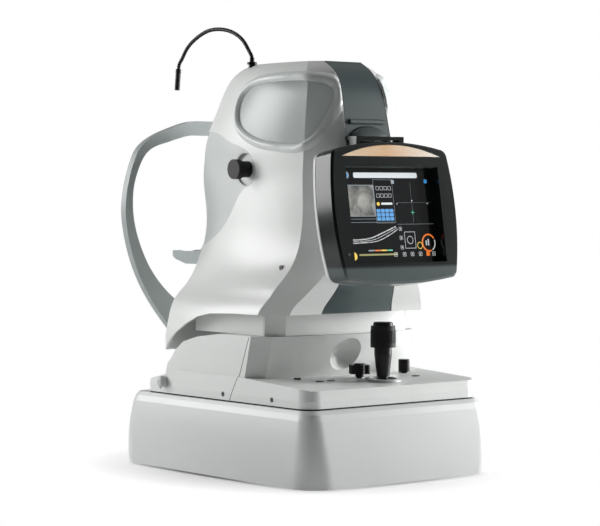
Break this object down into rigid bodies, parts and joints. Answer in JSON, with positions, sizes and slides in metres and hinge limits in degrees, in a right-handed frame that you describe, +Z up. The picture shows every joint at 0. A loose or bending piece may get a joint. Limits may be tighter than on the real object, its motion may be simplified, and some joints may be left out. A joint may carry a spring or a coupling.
{
  "type": "autorefractor",
  "caption": "Table-top joystick eye-examination instrument: flared base, sliding carriage, lifting optical head, tilting touch display, chin rest and face hoop.",
  "frame": {"origin": "bottom centre of the whole instrument, at table level under the feet", "axes": "+X operator's right, +Y from the operator to the patient, +Z up"},
  "size_m": [0.3422, 0.5074, 0.6362],
  "materials": {
    "cover_white": "satin moulded covers",
    "cover_grey": "light grey moulded cover",
    "hoop_grey": "grey painted casting",
    "strip_dark": "dark teal grey moulding",
    "bezel_dark": "dark grey moulding",
    "black_plastic": "black moulding",
    "rubber_black": "black rubber",
    "steel": "machined steel",
    "plate_steel": "zinc plated sheet",
    "alu": "machined aluminium",
    "brass": "machined brass",
    "screen": "touch glass",
    "lcd": "display panel",
    "lens": "coated lens",
    "pad_soft": "soft silicone pad",
    "cup": "grey moulded chin rest",
    "electronics": "boxed electronics",
    "gun_metal": "black anodised"
  },
  "bodies": {
    "base": {"base_shell": "cover_white", "base_plate": "plate_steel", "rubber_feet": "rubber_black", "base_screws": "steel", "stage_tray": "plate_steel", "stage_racks": "brass", "friction_plate": "black_plastic", "power_supply": "electronics", "power_inlet": "black_plastic", "switch_case": "black_plastic", "face_hoop": "hoop_grey", "forehead_pad": "pad_soft", "chin_guide": "steel", "chin_motor": "electronics"},
    "power_rocker": {"power_rocker": "black_plastic"},
    "chin_rest": {"chin_rod": "steel", "chin_cup": "cup"},
    "chin_screw": {"chin_screw": "steel"},
    "stage_y": {"cross_beam": "alu"},
    "x_axle": {"x_axle": "steel"},
    "carriage": {"carriage_chassis": "alu", "lift_rods": "steel", "lift_motor": "electronics", "deck_cover": "cover_white", "side_cover_left": "cover_white", "side_cover_right": "cover_white", "deck_screws": "steel", "neck_cover": "cover_white", "joystick_ring": "cover_grey"},
    "joystick_gimbal": {"joystick_gimbal": "steel"},
    "joystick": {"joystick_stem": "black_plastic"},
    "joystick_grip": {"joystick_grip": "rubber_black"},
    "joystick_button": {"joystick_button": "black_plastic"},
    "lock_knob": {"lock_knob": "black_plastic"},
    "dimmer_knob": {"dimmer_knob": "black_plastic"},
    "transport_knob": {"transport_knob": "cover_grey"},
    "push_button_1": {"push_button_1": "cover_grey"},
    "push_button_2": {"push_button_2": "cover_grey"},
    "push_button_3": {"push_button_3": "cover_grey"},
    "push_button_4": {"push_button_4": "black_plastic"},
    "lift_screw": {"lift_screw": "steel"},
    "head": {"head_shell_left": "cover_white", "head_shell_right": "cover_white", "side_panel_left": "cover_grey", "side_panel_right": "cover_grey", "spine_cover": "strip_dark", "patient_cover": "cover_grey", "optical_bench": "alu", "objective_barrel": "gun_metal", "objective_lens": "lens", "camera_unit": "electronics", "hinge_bracket": "strip_dark", "head_screws": "steel"},
    "display": {"display_bezel": "bezel_dark", "display_back": "cover_grey", "lcd_panel": "lcd", "display_window": "screen"},
    "side_knob": {"side_knob": "rubber_black"},
    "lamp": {"gooseneck": "gun_metal", "lamp_head": "black_plastic"}
  },
  "joints": [
    {"name": "power_rocker_tilt", "type": "hinge", "parent": "base", "child": "power_rocker", "pos_m": [0.1603, 0.14675, 0.041], "axis": [0, 1, 0], "range_deg": [-5, 5]},
    {"name": "chin_rest_height", "type": "slide", "parent": "base", "child": "chin_rest", "axis": [0, 0, 1], "range_m": [-0.031, 0.031]},
    {"name": "chin_screw_turn", "type": "hinge", "parent": "base", "child": "chin_screw", "pos_m": [0, 0.19575, 0.1085], "axis": [0, 0, 1], "range_deg": [-7440, 7440]},
    {"name": "stage_fore_aft", "type": "slide", "parent": "base", "child": "stage_y", "axis": [0, 1, 0], "range_m": [-0.02, 0.02]},
    {"name": "axle_roll", "type": "hinge", "parent": "stage_y", "child": "x_axle", "pos_m": [0, -0.03025, 0.101], "axis": [1, 0, 0], "range_deg": [-140, 140]},
    {"name": "stage_left_right", "type": "slide", "parent": "stage_y", "child": "carriage", "axis": [1, 0, 0], "range_m": [-0.035, 0.035]},
    {"name": "joystick_fore_aft", "type": "hinge", "parent": "carriage", "child": "joystick_gimbal", "pos_m": [0.01, -0.19025, 0.122], "axis": [1, 0, 0], "range_deg": [-10, 10]},
    {"name": "joystick_left_right", "type": "hinge", "parent": "joystick_gimbal", "child": "joystick", "pos_m": [0.01, -0.19025, 0.122], "axis": [0, 1, 0], "range_deg": [-10, 10]},
    {"name": "joystick_height_turn", "type": "hinge", "parent": "joystick", "child": "joystick_grip", "pos_m": [0.01, -0.19025, 0.2], "axis": [0, 0, 1], "continuous": true},
    {"name": "joystick_button_press", "type": "slide", "parent": "joystick", "child": "joystick_button", "axis": [0, 0, -1], "range_m": [0, 0.002], "stiffness_N_per_m": 1500, "springref_m": -0.0008},
    {"name": "lock_knob_turn", "type": "hinge", "parent": "carriage", "child": "lock_knob", "pos_m": [-0.002, -0.15425, 0.15], "axis": [0, 0, 1], "range_deg": [-180, 180]},
    {"name": "dimmer_knob_turn", "type": "hinge", "parent": "carriage", "child": "dimmer_knob", "pos_m": [0.098, -0.13425, 0.15], "axis": [0, 0, 1], "range_deg": [-140, 140]},
    {"name": "transport_knob_turn", "type": "hinge", "parent": "carriage", "child": "transport_knob", "pos_m": [-0.15, 0.09775, 0.124], "axis": [-1, 0, 0], "range_deg": [0, 90]},
    {"name": "push_button_1_press", "type": "slide", "parent": "carriage", "child": "push_button_1", "axis": [0, 0, -1], "range_m": [0, 0.001], "stiffness_N_per_m": 1200, "springref_m": -0.0006},
    {"name": "push_button_2_press", "type": "slide", "parent": "carriage", "child": "push_button_2", "axis": [0, 0, -1], "range_m": [0, 0.001], "stiffness_N_per_m": 1200, "springref_m": -0.0006},
    {"name": "push_button_3_press", "type": "slide", "parent": "carriage", "child": "push_button_3", "axis": [0, 0, -1], "range_m": [0, 0.001], "stiffness_N_per_m": 1200, "springref_m": -0.0006},
    {"name": "push_button_4_press", "type": "slide", "parent": "carriage", "child": "push_button_4", "axis": [0, 0, -1], "range_m": [0, 0.001], "stiffness_N_per_m": 1200, "springref_m": -0.0006},
    {"name": "lift_screw_turn", "type": "hinge", "parent": "carriage", "child": "lift_screw", "pos_m": [0, -0.01025, 0.12], "axis": [0, 0, 1], "range_deg": [-2160, 2880]},
    {"name": "head_height", "type": "slide", "parent": "carriage", "child": "head", "axis": [0, 0, 1], "range_m": [-0.0115, 0.016]},
    {"name": "display_tilt", "type": "hinge", "parent": "head", "child": "display", "pos_m": [0, -0.18825, 0.455], "axis": [-1, 0, 0], "range_deg": [0, 25]},
    {"name": "side_knob_turn", "type": "hinge", "parent": "head", "child": "side_knob", "pos_m": [-0.1, -0.00625, 0.428], "axis": [-1, 0, 0], "range_deg": [-180, 180]},
    {"name": "lamp_swivel", "type": "hinge", "parent": "head", "child": "lamp", "pos_m": [-0.05, 0.02775, 0.57], "axis": [0, 0, 1], "range_deg": [-90, 90]}
  ],
  "couplings": [
    {"joint": "chin_screw_turn", "follows": "chin_rest_height", "rad_per_m": 4188.8},
    {"joint": "axle_roll", "follows": "stage_fore_aft", "rad_per_m": -111.11},
    {"joint": "lift_screw_turn", "follows": "head_height", "rad_per_m": 3141.6}
  ]
}
